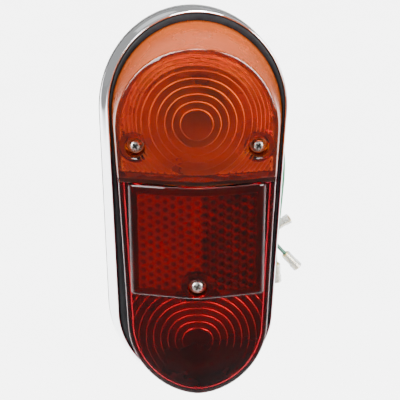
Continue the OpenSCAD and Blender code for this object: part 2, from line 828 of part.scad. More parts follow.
module tail_receptacle() {
    color([0.75, 0.68, 0.5]) receptacle(tail_run);
}

module indicator_sleeve() {
    color([0.9, 0.92, 0.9, 0.6]) sleeve(indicator_run);
}

module stop_sleeve() {
    color([0.9, 0.92, 0.9, 0.6]) sleeve(stop_run);
}

module tail_sleeve() {
    color([0.9, 0.92, 0.9, 0.6]) sleeve(tail_run);
}

base_gasket();
mounting_studs();
flat_washers();
spring_washers();
upper_nut();
lower_nut();
base_pan();
bezel();
lens_seal();
chamber_divider();
amber_pillars();
red_pillar();
amber_lens();
red_lens();
reflex_insert();
left_amber_screw();
right_amber_screw();
red_screw();
amber_washers();
red_washer();
amber_holder();
red_holder();
amber_boot();
red_boot();
amber_disc();
amber_plunger();
amber_spring();
red_disc();
red_plungers();
red_spring();
amber_bulb_cap();
amber_bulb_insulator();
amber_bulb_contact();
amber_bulb_glass();
amber_filament();
red_bulb_cap();
red_bulb_insulator();
red_bulb_contacts();
red_bulb_glass();
red_filaments();
indicator_lead();
stop_lead();
tail_lead();
indicator_receptacle();
stop_receptacle();
tail_receptacle();
indicator_sleeve();
stop_sleeve();
tail_sleeve();
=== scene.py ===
"""Combination rear lamp: detailed lenses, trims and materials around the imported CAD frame.

Sizes are in millimetres up to mesh making, which scales them to metres. The lamp looks along
-Y, its back face lies on y = 0, +Z is up and +X is to the right of someone facing the lenses.
"""
import json
import math

import bmesh
import bpy
from mathutils import Matrix, Vector


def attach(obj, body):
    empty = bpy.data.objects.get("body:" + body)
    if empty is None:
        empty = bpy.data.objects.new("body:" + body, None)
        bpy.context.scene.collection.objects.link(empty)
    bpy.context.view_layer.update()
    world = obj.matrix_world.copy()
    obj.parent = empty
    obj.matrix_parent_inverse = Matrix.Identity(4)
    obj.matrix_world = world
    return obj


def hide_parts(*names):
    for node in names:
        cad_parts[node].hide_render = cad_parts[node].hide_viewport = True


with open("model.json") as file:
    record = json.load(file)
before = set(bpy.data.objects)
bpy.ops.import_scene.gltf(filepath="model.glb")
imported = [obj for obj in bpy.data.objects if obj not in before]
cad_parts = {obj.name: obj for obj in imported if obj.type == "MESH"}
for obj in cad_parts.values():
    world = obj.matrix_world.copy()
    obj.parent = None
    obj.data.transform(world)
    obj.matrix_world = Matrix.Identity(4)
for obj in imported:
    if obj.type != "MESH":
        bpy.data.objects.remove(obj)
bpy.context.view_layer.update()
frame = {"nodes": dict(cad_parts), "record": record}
for spare in ("Cube", "Light", "Camera"):
    if spare in bpy.data.objects:
        bpy.data.objects.remove(bpy.data.objects[spare])

MM = 0.001
TAU = 2 * math.pi


# ---------------------------------------------------------------- camera

def add_camera():
    """The viewing angle is 20.6 degrees above the lamp's own axis, from straight in front."""
    elevation, distance = math.radians(20.6), 464.8 * MM
    target = Vector((0, -12, 6.8)) * MM
    data = bpy.data.cameras.new("camera")
    data.sensor_width = 36
    data.lens = 88.6
    data.shift_x = 0.0073
    data.clip_start = 0.01
    camera = bpy.data.objects.new("camera", data)
    camera.location = target + distance * Vector((0, -math.cos(elevation), math.sin(elevation)))
    aim = (target - camera.location).to_track_quat("-Z", "Y").to_matrix()
    roll = Matrix.Rotation(math.radians(-0.24), 3, "Z")
    camera.rotation_euler = (aim @ roll).to_euler()
    bpy.context.scene.collection.objects.link(camera)
    bpy.context.scene.camera = camera


# ---------------------------------------------------------------- meshes

def new_object(name, verts, faces, body, smooth_angle=35, scale=MM):
    """A mesh piece from millimetre points, welded, shaded smooth up to an angle, on a body."""
    mesh = bpy.data.meshes.new(name)
    mesh.from_pydata([Vector(v) * scale for v in verts], [], faces)
    bm = bmesh.new()
    bm.from_mesh(mesh)
    bmesh.ops.remove_doubles(bm, verts=bm.verts, dist=2e-6)
    bmesh.ops.dissolve_degenerate(bm, edges=bm.edges, dist=1e-7)
    bmesh.ops.recalc_face_normals(bm, faces=bm.faces)
    bm.to_mesh(mesh)
    bm.free()
    mesh.shade_smooth()
    mesh.set_sharp_from_angle(angle=math.radians(smooth_angle))
    obj = bpy.data.objects.new(name, mesh)
    bpy.context.scene.collection.objects.link(obj)
    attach(obj, body)
    return obj


def grid_faces(rows, columns, close_rows=False, close_columns=False, start=0):
    """Quads over a grid of points stored row by row; start is its first point number."""
    faces = []
    for i in range(rows if close_rows else rows - 1):
        for k in range(columns if close_columns else columns - 1):
            a, b = i * columns + k, i * columns + (k + 1) % columns
            c, d = ((i + 1) % rows) * columns + (k + 1) % columns, ((i + 1) % rows) * columns + k
            faces.append([start + v for v in (a, b, c, d)])
    return faces


def joined(name, parts, body, smooth_angle=35):
    """One piece from several (verts, faces) shells."""
    verts, faces = [], []
    for v, f in parts:
        faces += [[i + len(verts) for i in face] for face in f]
        verts += v
    return new_object(name, verts, faces, body, smooth_angle)


# ---------------------------------------------------------------- outlines

def reach(arch, f):
    """How far an arch (half width, half height, centre x, z) goes from its centre along f."""
    return math.hypot(arch[0] * math.cos(f), arch[1] * math.sin(f))


def support(arch, f):
    """How far an arch goes from the origin along f."""
    return reach(arch, f) + arch[2] * math.cos(f) + arch[3] * math.sin(f)


def outline_point(top, bottom, f):
    """The outline's point whose outward normal has angle f."""
    arch = top if support(top, f) > support(bottom, f) else bottom
    r = reach(arch, f)
    return (arch[2] + arch[0] ** 2 * math.cos(f) / r, arch[3] + arch[1] ** 2 * math.sin(f) / r)


def grown(arch, d):
    """An arch with both halves d larger."""
    return (arch[0] + d, arch[1] + d, arch[2], arch[3])


def mixed(a, b, t):
    """An arch part of the way t from a to b."""
    return tuple(p * (1 - t) + q * t for p, q in zip(a, b))


LENS_TOP_Z, LENS_BOTTOM_Z = 91.6, -87.6
HALF_TOP, HALF_BOTTOM = 38.8, 33.4
FLANGE = ((HALF_TOP, 44, 0, LENS_TOP_Z - 44), (HALF_BOTTOM, 30, 0, LENS_BOTTOM_Z + 30))
RIDGE = ((HALF_TOP - 4.2, 37.1, 0, LENS_TOP_Z - 43),
         (HALF_BOTTOM - 1.3, 37, 0, LENS_BOTTOM_Z + 46.3))
LIP = ((HALF_TOP + 1.3, 43.6, 0.2, LENS_TOP_Z + 3.6 - 43.6),
       (HALF_BOTTOM + 3.7, 38.9, -1.2, LENS_BOTTOM_Z - 2.6 + 38.9))
FOOT = ((HALF_TOP + 4.0, 48.3, -2.3, LENS_TOP_Z + 4.6 - 48.3),
        (HALF_BOTTOM + 7.0, 46.3, -3.7, LENS_BOTTOM_Z - 7.7 + 46.3))
GASKET_Y, FLANGE_Y, RIDGE_Y, LIP_Y = -2.5, -12.0, -45.0, -13.9
PAN_RIM_Y, PAN_T = -9.5, 1.2
SEAM_Z, BLOCK_BOTTOM_Z = 27.0, -28.6
AMBER_AXIS, RED_AXIS = (0.0, 52.5), (0.0, -51.5)
OUTLINE_STEPS = 256


def arches(pair, d=0.0):
    """The top and the bottom arch of an outline, both grown by d."""
    return grown(pair[0], d), grown(pair[1], d)


def blend_arches(a, b, t):
    """The top and the bottom arch part of the way t from outline a to outline b."""
    return mixed(a[0], b[0], t), mixed(a[1], b[1], t)


def outline_band(section, steps=OUTLINE_STEPS):
    """Verts and faces of a closed section, [y, arches], carried round the outline."""
    verts = []
    for y, (top, bottom) in section:
        for k in range(steps):
            x, z = outline_point(top, bottom, (k + 0.5) * TAU / steps)
            verts.append((x, y, z))
    return verts, grid_faces(len(section), steps, close_rows=True, close_columns=True)


def rounded(points, radii, steps=5):
    """Rounds the corners of a closed polyline of plain tuples of any width."""
    out, n = [], len(points)
    for i, (p, r) in enumerate(zip(points, radii)):
        if r <= 0:
            out.append(p)
            continue
        before, after = points[i - 1], points[(i + 1) % n]
        for k in range(steps + 1):
            t = k / steps
            la = math.dist(p, before) or 1
            lb = math.dist(p, after) or 1
            a = mixed(p, before, min(r / la, 0.5))
            b = mixed(p, after, min(r / lb, 0.5))
            out.append(mixed(mixed(a, p, t), mixed(p, b, t), t))
    return out


# ---------------------------------------------------------------- leads

NIPPLE_END = 14.81
LEAD_D = 1.9
BOOT_Y = 12.9
RUNS = {
    "indicator": [
        (NIPPLE_END, BOOT_Y, 52.5), (17.2, BOOT_Y, 52.5), (21.2, 12.8, 51.8), (25.8, 12.2, 50),
        (30.4, 11.3, 47), (34.6, 10.3, 42.6), (38.1, 9.2, 36.8), (40.6, 8.1, 30),
        (41.7, 7.1, 22.4), (41.9, 6.3, 14), (41.4, 6, 5), (40.8, 6, -4), (40.1, 6, -13),
        (39.4, 6, -21), (39, 6, -28), (39.4, 6, -34)],
    "stop": [
        (5, BOOT_Y, -51.5 + NIPPLE_END), (5, BOOT_Y, -34.4), (5.1, 13.2, -31.6),
        (5.6, 13.8, -28.2), (6.6, 14.1, -24.6), (8.2, 14, -20.8), (10.5, 13.5, -17.2),
        (13.5, 12.8, -14.2), (17.2, 12.3, -12.2), (21.3, 12, -11.6), (25.4, 12, -12.6),
        (29, 12, -14.8), (32.2, 12, -17.7), (35.2, 12, -20.9), (38.1, 12, -24.2),
        (41.2, 12, -27.7), (44.5, 12, -31.4)],
    "tail": [
        (-5, BOOT_Y, -51.5 + NIPPLE_END), (-5, BOOT_Y, -34.4), (-5, 13.5, -31.4),
        (-4.8, 15, -28.6), (-4.2, 16.8, -26), (-3, 18.2, -23.5), (-1.1, 19.1, -21.3),
        (1.5, 19.5, -19.7), (4.8, 19.6, -19), (8.3, 19.6, -19.4), (11.7, 19.5, -21),
        (15.5, 19.5, -23.3), (19.7, 19.4, -25.4), (24, 19.2, -26.5), (28, 18.8, -26.2),
        (31.7, 18.3, -24.6), (35.1, 18, -22.4), (38.5, 18, -20.1)],
}


def smooth_run(points, cuts=4):
    """Catmull-Rom points through a run, which start and end where the run does."""
    pts = [Vector(p) for p in points]
    pts = [2 * pts[0] - pts[1]] + pts + [2 * pts[-1] - pts[-2]]
    out = []
    for a, b, c, d in zip(pts, pts[1:], pts[2:], pts[3:]):
        for k in range(cuts):
            t = k / cuts
            out.append(0.5 * (2 * b + (c - a) * t + (2 * a - 5 * b + 4 * c - d) * t ** 2
                              + (3 * b - a - 3 * c + d) * t ** 3))
    return out + [pts[-2]]


def tube(points, radius, sides=20):
    """Verts and faces of a round tube with closed ends along points."""
    verts, side = [], Vector((0, 1, 0.05))
    for i, p in enumerate(points):
        t = (points[min(i + 1, len(points) - 1)] - points[max(i - 1, 0)]).normalized()
        u = t.cross(side).normalized()
        v = t.cross(u)
        for k in range(sides):
            a = k * TAU / sides
            verts.append(tuple(p + radius * (u * math.cos(a) + v * math.sin(a))))
    faces = grid_faces(len(points), sides, close_columns=True)
    faces.append(list(range(sides)))
    faces.append([len(verts) - sides + k for k in range(sides)][::-1])
    return verts, faces


def add_leads(paints):
    """The three leads, as cords along RUNS; each stands for its CAD lead."""
    for name, run in RUNS.items():
        path = smooth_run(run)
        lead = joined(f"{name}_wire", [tube(path, LEAD_D / 2)], "base")
        lead.data.materials.append(paints[name])
        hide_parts(f"{name}_lead")


# ---------------------------------------------------------------- materials

def material(name):
    """A new node material, with its nodes, links and shader."""
    mat = bpy.data.materials.new(name)
    mat.use_nodes = True
    nodes, links = mat.node_tree.nodes, mat.node_tree.links
    shader = nodes["Principled BSDF"]
    return mat, nodes, links, shader


def noise(nodes, links, scale, detail=4.0, roughness=0.55, stretch=None):
    """Noise in the piece's own coordinates; stretch scales the axes."""
    coords = nodes.new("ShaderNodeTexCoord")
    tex = nodes.new("ShaderNodeTexNoise")
    tex.inputs["Scale"].default_value = scale
    tex.inputs["Detail"].default_value = detail
    tex.inputs["Roughness"].default_value = roughness
    if stretch:
        mapping = nodes.new("ShaderNodeMapping")
        mapping.inputs["Scale"].default_value = stretch
        links.new(coords.outputs["Object"], mapping.inputs["Vector"])
        links.new(mapping.outputs["Vector"], tex.inputs["Vector"])
    else:
        links.new(coords.outputs["Object"], tex.inputs["Vector"])
    return tex.outputs["Fac"]


def ramp(nodes, links, fac, stops):
    """A colour ramp driven by fac; stops are (place, colour)."""
    node = nodes.new("ShaderNodeValToRGB")
    band = node.color_ramp
    while len(band.elements) < len(stops):
        band.elements.new(0.5)
    for element, (place, colour) in zip(band.elements, stops):
        element.position = place
        element.color = (*colour, 1) if len(colour) == 3 else colour
    links.new(fac, node.inputs["Fac"])
    return node.outputs["Color"]


def grey(low, high):
    """Two ramp stops, each given as (place, level)."""
    return [(low[0], (low[1],) * 3), (high[0], (high[1],) * 3)]


def bump(nodes, links, shader, height, strength, distance):
    """Leads a height texture into the shader as bump."""
    node = nodes.new("ShaderNodeBump")
    node.inputs["Strength"].default_value = strength
    node.inputs["Distance"].default_value = distance
    links.new(height, node.inputs["Height"])
    links.new(node.outputs["Normal"], shader.inputs["Normal"])


def solid_material(name, dark, light, rough, metallic=0.0, scale=120, bump_size=0.0,
                   stretch=None, coat=0.0, specular=0.5):
    """A paint, metal, rubber or plastic with mottled colour, uneven gloss and a fine bump."""
    mat, nodes, links, shader = material(name)
    fac = noise(nodes, links, scale, stretch=stretch)
    links.new(ramp(nodes, links, fac, [(0.3, dark), (0.7, light)]), shader.inputs["Base Color"])
    fine = noise(nodes, links, scale * 5, stretch=stretch)
    links.new(ramp(nodes, links, fine, grey((0.3, rough[0]), (0.7, rough[1]))),
              shader.inputs["Roughness"])
    shader.inputs["Metallic"].default_value = metallic
    shader.inputs["Coat Weight"].default_value = coat
    shader.inputs["Specular IOR Level"].default_value = specular
    if bump_size:
        bump(nodes, links, shader, fine, 0.35, bump_size * MM)
    return mat


def lens_material(name, colour, deep, rough, clear=1.0, ior=1.49):
    """Tinted acrylic: mostly clear, with a share of body colour from the pigment."""
    mat, nodes, links, shader = material(name)
    fac = noise(nodes, links, 60, detail=3)
    links.new(ramp(nodes, links, fac, [(0.3, deep), (0.7, colour)]), shader.inputs["Base Color"])
    smear = noise(nodes, links, 35, detail=6)
    links.new(ramp(nodes, links, smear, grey((0.35, rough * 0.7), (0.7, rough * 1.5))),
              shader.inputs["Roughness"])
    shader.inputs["Transmission Weight"].default_value = clear
    shader.inputs["Specular IOR Level"].default_value = 0.11
    shader.inputs["IOR"].default_value = ior
    return mat


def glass_material(name, colour, clear=1.0):
    """Clear glass or clear plastic with a faint uneven tint and haze."""
    mat, nodes, links, shader = material(name)
    fac = noise(nodes, links, 90, detail=3)
    dull = tuple(c * 0.96 for c in colour)
    links.new(ramp(nodes, links, fac, [(0.3, dull), (0.7, colour)]), shader.inputs["Base Color"])
    links.new(ramp(nodes, links, fac, grey((0.3, 0.01), (0.8, 0.05))), shader.inputs["Roughness"])
    shader.inputs["Transmission Weight"].default_value = clear
    shader.inputs["IOR"].default_value = 1.5
    return mat


def make_paints():
    """All materials, by name."""
    steel = (0.62, 0.61, 0.58)
    return {
        "foam_rubber": solid_material("foam_rubber", (0.012,) * 3, (0.03,) * 3, (0.75, 0.95),
                                      scale=900, bump_size=0.15),
        "black_rubber": solid_material("black_rubber", (0.004, 0.004, 0.005), (0.009, 0.009, 0.01),
                                       (0.4, 0.6), scale=200, bump_size=0.02, specular=0.2),
        "chrome": solid_material("chrome", (0.82, 0.84, 0.87), (0.92, 0.93, 0.95), (0.02, 0.07),
                                 metallic=1, scale=25),
        "white_steel": solid_material("white_steel", (0.68, 0.67, 0.62), (0.8, 0.8, 0.76),
                                      (0.25, 0.45), scale=60, bump_size=0.02, coat=0.2),
        "zinc_steel": solid_material("zinc_steel", (0.5, 0.49, 0.45), (0.72, 0.71, 0.68),
                                     (0.18, 0.38), metallic=1, scale=300, bump_size=0.01),
        "spring_steel": solid_material("spring_steel", (0.35, 0.35, 0.35), steel, (0.25, 0.4),
                                       metallic=1, scale=400),
        # The screws' cross recess is dark grey: painted shade in the recess.
        "recess": solid_material("recess", (0.03, 0.03, 0.028), (0.12, 0.115, 0.1), (0.4, 0.6),
                                 metallic=0.6, scale=700),
        "brass": solid_material("brass", (0.6, 0.42, 0.16), (0.8, 0.62, 0.3), (0.2, 0.4),
                                metallic=1, scale=250),
        "fibre": solid_material("fibre", (0.16, 0.08, 0.04), (0.32, 0.18, 0.1), (0.6, 0.85),
                                scale=700, bump_size=0.03),
        "black_glass": solid_material("black_glass", (0.01,) * 3, (0.025,) * 3, (0.08, 0.2),
                                      scale=200),
        "solder": solid_material("solder", (0.4, 0.4, 0.41), (0.62, 0.62, 0.63), (0.3, 0.5),
                                 metallic=1, scale=500),
        "tungsten": solid_material("tungsten", (0.2, 0.2, 0.21), (0.42, 0.42, 0.44), (0.3, 0.5),
                                   metallic=1, scale=500),
        "green_pvc": solid_material("green_pvc", (0.0, 0.07, 0.025), (0.003, 0.12, 0.045),
                                    (0.3, 0.45), scale=150, bump_size=0.01),
        "dark_green_pvc": solid_material("dark_green_pvc", (0.003, 0.035, 0.018),
                                         (0.008, 0.075, 0.04), (0.3, 0.45), scale=150,
                                         bump_size=0.01),
        "clear_glass": glass_material("clear_glass", (0.97, 0.98, 0.98)),
        "clear_pvc": glass_material("clear_pvc", (0.8, 0.82, 0.8), clear=0.8),
        "amber_acrylic": lens_material("amber_acrylic", (0.6, 0.1, 0.002), (0.5, 0.08, 0.001),
                                       0.02),
        "amber_inside": lens_material("amber_inside", (0.6, 0.1, 0.002), (0.5, 0.07, 0.001), 0.3),
        # The risers' brighter, half-diffuse amber is painted highlight on the ring steps.
        "amber_riser_painted_highlight": lens_material("amber_riser_painted_highlight", (1.0, 0.42, 0.03), (1.0, 0.34, 0.02), 0.3, 0.5),
        # The side walls' paler, partly diffuse amber is the lens's own tint with painted sheen.
        "amber_wall_painted_sheen": lens_material("amber_wall_painted_sheen", (0.42, 0.085, 0.015), (0.35, 0.065, 0.01),
                                    0.25, 0.75, ior=1.25),
        # The side walls' purple-tinted, partly diffuse red is the lens's own tint with painted
        # sheen.
        "red_wall_painted_sheen": lens_material("red_wall_painted_sheen", (0.25, 0.006, 0.02), (0.18, 0.004, 0.02), 0.2, 0.8,
                                  ior=1.3),
        "red_acrylic": lens_material("red_acrylic", (0.3, 0.002, 0.004), (0.25, 0.001, 0.004), 0.02,
                                     ior=1.36),
        # The near-black red on the inside of the lower dome is painted shade.
        "red_inside_painted_shade": lens_material("red_inside_painted_shade", (0.05, 0.001, 0.003), (0.03, 0.001, 0.002), 0.3),
        # The risers' brighter, half-diffuse red is painted highlight on the ring steps.
        "red_riser_painted_highlight": lens_material("red_riser_painted_highlight", (0.5, 0.018, 0.014), (0.42, 0.012, 0.012),
                                   0.3, 0.5),
        "floor": solid_material("floor", (0.86,) * 3, (0.9,) * 3, (0.7, 0.9), scale=4),
        # The reflex sheet's reds are lit and shaded copies of one red. The bright left flank is
        # painted light and the dark right flank is painted shade. The darker middles are painted
        # shade in the cube centres, nearly black on the right.
        "reflex_left": solid_material("reflex_left", (0.85, 0.03, 0.02), (1.0, 0.06, 0.03),
                                      (0.3, 0.5), metallic=0.1, scale=80),
        "reflex_right": solid_material("reflex_right", (0.26, 0.01, 0.014), (0.38, 0.02, 0.02),
                                       (0.3, 0.5), metallic=0.15, scale=80),
        "reflex_left_middle": solid_material("reflex_left_middle", (0.5, 0.015, 0.01),
                                             (0.8, 0.04, 0.02), (0.1, 0.2), metallic=0.4, scale=90),
        "reflex_right_middle": solid_material("reflex_right_middle", (0.02, 0.0, 0.002),
                                              (0.06, 0.003, 0.006), (0.1, 0.2), metallic=0.4,
                                              scale=90),
    }


# ---------------------------------------------------------------- trims

def roof_y(x, drop=0.0):
    """The lens front: a rounded ridge over x = 0 with two flat flanks."""
    slope = 6.1 / (math.hypot(30, 3) - 3)
    return RIDGE_Y + drop + slope * (math.hypot(x, 3) - 3)


def add_trims():
    """The chrome plinth and the rubber seal, with smooth outlines."""
    edge = arches(LIP, 1.0)
    wall = [(y, a) for y, a in [
        (GASKET_Y, arches(FOOT)),
        (GASKET_Y - 0.5, arches(FOOT, 0.12)),
        (GASKET_Y - 1.6, arches(FOOT, 0.05)),
        (GASKET_Y - 3.0, blend_arches(FOOT, edge, 0.07)),
        (GASKET_Y - 4.6, blend_arches(FOOT, edge, 0.2)),
        (GASKET_Y - 6.3, blend_arches(FOOT, edge, 0.42)),
        (GASKET_Y - 8.0, blend_arches(FOOT, edge, 0.7)),
        (GASKET_Y - 9.4, blend_arches(FOOT, edge, 0.9)),
        (LIP_Y + 0.9, edge),
        (LIP_Y + 0.45, arches(LIP, 0.96)),
        (LIP_Y + 0.15, arches(LIP, 0.82)),
        (LIP_Y, arches(LIP, 0.55)),
        (LIP_Y + 0.08, arches(LIP, 0.28)),
        (LIP_Y + 0.3, arches(LIP, 0.08)),
        (LIP_Y + 0.7, arches(LIP)),
        (PAN_RIM_Y + 0.3, arches(LIP)),
        (GASKET_Y - 1.6, arches(FOOT, -1.6)),
        (GASKET_Y, arches(FOOT, -1.6)),
    ]]
    plinth = joined("chrome_plinth", [outline_band(wall)], "base", 40)
    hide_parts("bezel")
    seat_y = PAN_RIM_Y - PAN_T - 0.05
    seal = [
        (seat_y, arches(LIP, -0.2)), (FLANGE_Y - 0.4, arches(LIP, -0.2)),
        (FLANGE_Y - 0.8, arches(LIP, -0.35)), (FLANGE_Y - 1.0, arches(LIP, -0.7)),
        (FLANGE_Y - 1.0, blend_arches(arches(LIP, -0.7), arches(FLANGE, 0.5), 0.7)),
        (FLANGE_Y - 0.8, arches(FLANGE, 0.4)), (FLANGE_Y - 0.4, arches(FLANGE, 0.3)),
        (FLANGE_Y + 0.3, arches(FLANGE, 0.3)), (FLANGE_Y + 0.3, arches(FLANGE, -4)),
        (seat_y, arches(FLANGE, -4))]
    rubber = joined("rubber_seal", [outline_band(seal)], "base", 40)
    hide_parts("lens_seal")
    return plinth, rubber


def add_gasket(mat):
    """The foam gasket: a thick sheet just wider than the plinth, with its eased edge."""
    shape = [(-0.02, 0.2), (-0.3, 0.55), (-1.2, 0.7), (-2.1, 0.6), (-2.48, 0.3)]
    verts = []
    for y, out in shape:
        top, bottom = arches(FOOT, out)
        for k in range(OUTLINE_STEPS):
            x, z = outline_point(top, bottom, (k + 0.5) * TAU / OUTLINE_STEPS)
            verts.append((x, y, z))
    faces = grid_faces(len(shape), OUTLINE_STEPS, close_columns=True)
    faces += [list(range(OUTLINE_STEPS)),
              [len(verts) - OUTLINE_STEPS + k for k in range(OUTLINE_STEPS)]]
    gasket = helper(verts, faces, "foam_gasket")
    for z, r in ((76, 4.6), (-74, 4.6), (AMBER_AXIS[1], 11.31), (RED_AXIS[1], 11.31)):
        cut_with(gasket, [turned([(0.01, 2), (r, 2), (r, -5), (0.01, -5)], (0, z))])
    resharpen(gasket, 35)
    gasket.data.materials.append(mat)
    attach(gasket, "base")
    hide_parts("base_gasket")


# ---------------------------------------------------------------- booleans

def cut_with(obj, cutters, operation="DIFFERENCE", solver="EXACT"):
    """Applies booleans between obj and throwaway cutter objects, then removes those."""
    for cutter in cutters:
        mod = obj.modifiers.new("cut", "BOOLEAN")
        mod.solver = solver
        mod.operation = operation
        mod.object = cutter
        bpy.context.view_layer.update()
        result = bpy.data.meshes.new_from_object(
            obj.evaluated_get(bpy.context.evaluated_depsgraph_get()))
        obj.modifiers.clear()
        old = obj.data
        obj.data = result
        bpy.data.meshes.remove(old)
        bpy.data.objects.remove(cutter)


def drop_empty_slots(obj):
    """Removes the unused empty material slot that a boolean can leave at the end."""
    while obj.data.materials and obj.data.materials[-1] is None:
        obj.data.materials.pop()


def resharpen(obj, angle):
    """Smooth shading, with edges over the angle kept sharp."""
    obj.data.shade_smooth()
    obj.data.set_sharp_from_angle(angle=math.radians(angle))


# ---------------------------------------------------------------- lenses

LENS_WALL = 2.4
RISE = FLANGE_Y - RIDGE_Y


def switch_angle(pair):
    """The normal's angle on the right-hand side where the upper arch hands over to the lower."""
    low, high = -math.pi / 2, math.pi / 2
    for _ in range(50):
        mid = (low + high) / 2
        if support(pair[0], mid) > support(pair[1], mid):
            high = mid
        else:
            low = mid
    return high


SWITCH = (switch_angle(FLANGE), switch_angle(RIDGE))


def arch_point(arch, f):
    """The outermost point of an arch along f."""
    r = reach(arch, f)
    return arch[2] + arch[0] ** 2 * math.cos(f) / r, arch[3] + arch[1] ** 2 * math.sin(f) / r


def wall_point(column, t, inset, upper, cut_z):
    """A lens wall's point: t runs from the flange at 0 to the ridge's height at 1.

    column is ("arch", u) round the arch, ("left"/"right", u) down a straight side from the arch
    to cut_z, or ("seam", u) along cut_z. The inset is the distance inside the outer skin."""
    pair = blend_arches(arches(FLANGE, -inset), arches(RIDGE, -inset), t)
    arch = pair[0] if upper else pair[1]
    fs = SWITCH[0] * (1 - t) + SWITCH[1] * t
    kind, u = column
    if kind == "arch":
        start, end = (fs, math.pi - fs) if upper else (math.pi - fs, TAU + fs)
        return arch_point(arch, start + (end - start) * u)
    x, z = arch_point(arch, fs)
    corner = x - math.tan(fs) * (cut_z - z)
    if kind == "seam":
        return corner * (1 - 2 * u), cut_z
    side = 1 if kind == "right" else -1
    return side * (x + (corner - x) * u), z + (cut_z - z) * u


def wall_front(column, inset, drop, upper, cut_z):
    """Where the wall meets the front, which is the roof pushed back by drop."""
    t = 0.9
    for _ in range(8):
        x, z = wall_point(column, t, inset, upper, cut_z)
        t = (FLANGE_Y - roof_y(x, drop)) / RISE
    return t, x, z


def lens_columns(upper, flutes_arch, flutes_side, seam_steps, per=4):
    """Columns in order round the lens, starting where the arch begins."""
    arch = [("arch", k / (flutes_arch * per)) for k in range(flutes_arch * per)]
    down = [k / (flutes_side * per) for k in range(flutes_side * per)]
    seam = [k / seam_steps for k in range(seam_steps)]
    if upper:
        return (arch + [("left", u) for u in down] + [("seam", 1 - u) for u in seam]
                + [("right", 1 - u) for u in down])
    return (arch + [("right", u) for u in down] + [("seam", u) for u in seam]
            + [("left", 1 - u) for u in down])


def build_lens(name, upper, cut_z, centre, rings, relief, body, columns):
    """A closed lens shell: front, eased edge, side wall, flange, then the inside with flutes.

    rings is a list of (radius, depth) for the steps moulded inside the front; relief says how
    much of that depth counts at a height z. Faces of the steps' risers take material 1."""
    inward = 1 if upper else -1
    rows, riser_rows = [], set()
    front = [0, 2, 5, 9, 14, 19, 24, 29, 34, 40, 48, 60, 75, 90]
    fronts = [wall_front(c, 0.8, 0, upper, cut_z + 0.8 * inward) for c in columns]
    inner = LENS_WALL
    insides = [wall_front(c, inner + 0.5, inner, upper, cut_z + (inner + 0.5) * inward)
               for c in columns]

    def radial(limits, r, height):
        row = []
        for _, bx, bz in limits:
            dx, dz = bx - centre[0], bz - centre[1]
            far = math.hypot(dx, dz)
            q = min(r, far) / far
            x, z = centre[0] + dx * q, centre[1] + dz * q
            row.append((x, height(x, z, 0.0 if r >= far else 1.0), z))
        return row

    for r in front:
        rows.append(radial(fronts, r, lambda x, z, free: roof_y(x)))
    wall_from = len(rows) + 1
    for inset, back in ((0.45, 0.07), (0.2, 0.25), (0.05, 0.55)):
        row = []
        for c in columns:
            t, x, z = wall_front(c, inset, back, upper, cut_z + inset * inward)
            row.append((x, FLANGE_Y - RISE * t, z))
        rows.append(row)
    edge = [wall_front(c, 0, 0.9, upper, cut_z) for c in columns]
    for share in (1, 0.94, 0.9, 0.65, 0.45, 0.25, 0.1):
        row = []
        for k, (c, (t, _, _)) in enumerate(zip(columns, edge)):
            flute = (0.0, 0.05, 0.07, 0.05)[k % 4] if share < 0.93 and c[0] != "seam" else 0.0
            x, z = wall_point(c, t * share, flute, upper, cut_z)
            row.append((x, FLANGE_Y - RISE * t * share, z))
        rows.append(row)
    for y, out in ((-13.2, 0), (-12.9, 0.12), (-12.3, 0.15), (-12.0, 0.05)):
        row = []
        for c in columns:
            x, z = wall_point(c, (FLANGE_Y - y) / RISE, -out if c[0] != "seam" else 0,
                              upper, cut_z)
            row.append((x, y, z))
        rows.append(row)
    ends = [wall_front(c, inner, inner + 0.6, upper, cut_z + inner * inward) for c in columns]
    for share in (0, 0.06, 0.1, 0.4, 0.7, 0.93, 1):
        row = []
        for k, (c, (t, _, _)) in enumerate(zip(columns, ends)):
            ridge = (0.0, 0.13, 0.18, 0.13)[k % 4] if 0.06 < share < 0.95 else 0.0
            ridge = 0.0 if c[0] == "seam" else ridge
            x, z = wall_point(c, t * share, inner + ridge, upper, cut_z + inner * inward)
            row.append((x, FLANGE_Y - RISE * t * share, z))
        rows.append(row)
    plan = [(95.0, 0.0)]
    inside_from = len(rows)
    for radius, depth in reversed(rings):
        plan += [(radius + 0.16, depth), (radius - 0.16, 0.0)]
        riser_rows.add(len(rows) + len(plan) - 2)
    plan.append((0.0, 0.6))
    for r, depth in plan:
        rows.append(radial(insides, r, lambda x, z, free, d=depth:
                           roof_y(x, inner) + d * relief(z) * free))
    n = len(columns)
    verts = [p for row in rows for p in row]
    faces, marks = [], []
    for i in range(len(rows) - 1):
        for k in range(n):
            a, b = i * n + k, i * n + (k + 1) % n
            faces.append([a, b, b + n, a + n])
            # Moulded inside faces take material 1, which on the red lens is a near-black tint of
            # painted shade.
            moulded = i >= inside_from and relief(rows[i][k][2]) > 0
            # Side wall faces take material 3, a paler tint that paints the walls' sheen.
            side = wall_from <= i < inside_from and columns[k][0] != "seam"
            # Riser faces take material 2, a brighter tint that is painted highlight on the ring
            # steps.
            marks.append((2 if i in riser_rows else 1) if moulded else 3 if side else 0)
    mesh = bpy.data.meshes.new(name)
    mesh.from_pydata([Vector(v) * MM for v in verts], [], faces)
    mesh.polygons.foreach_set("material_index", marks)
    bm = bmesh.new()
    bm.from_mesh(mesh)
    bmesh.ops.remove_doubles(bm, verts=bm.verts, dist=1e-6)
    bmesh.ops.recalc_face_normals(bm, faces=bm.faces)
    bm.to_mesh(mesh)
    bm.free()
    obj = bpy.data.objects.new(name, mesh)
    bpy.context.scene.collection.objects.link(obj)
    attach(obj, body)
    return obj


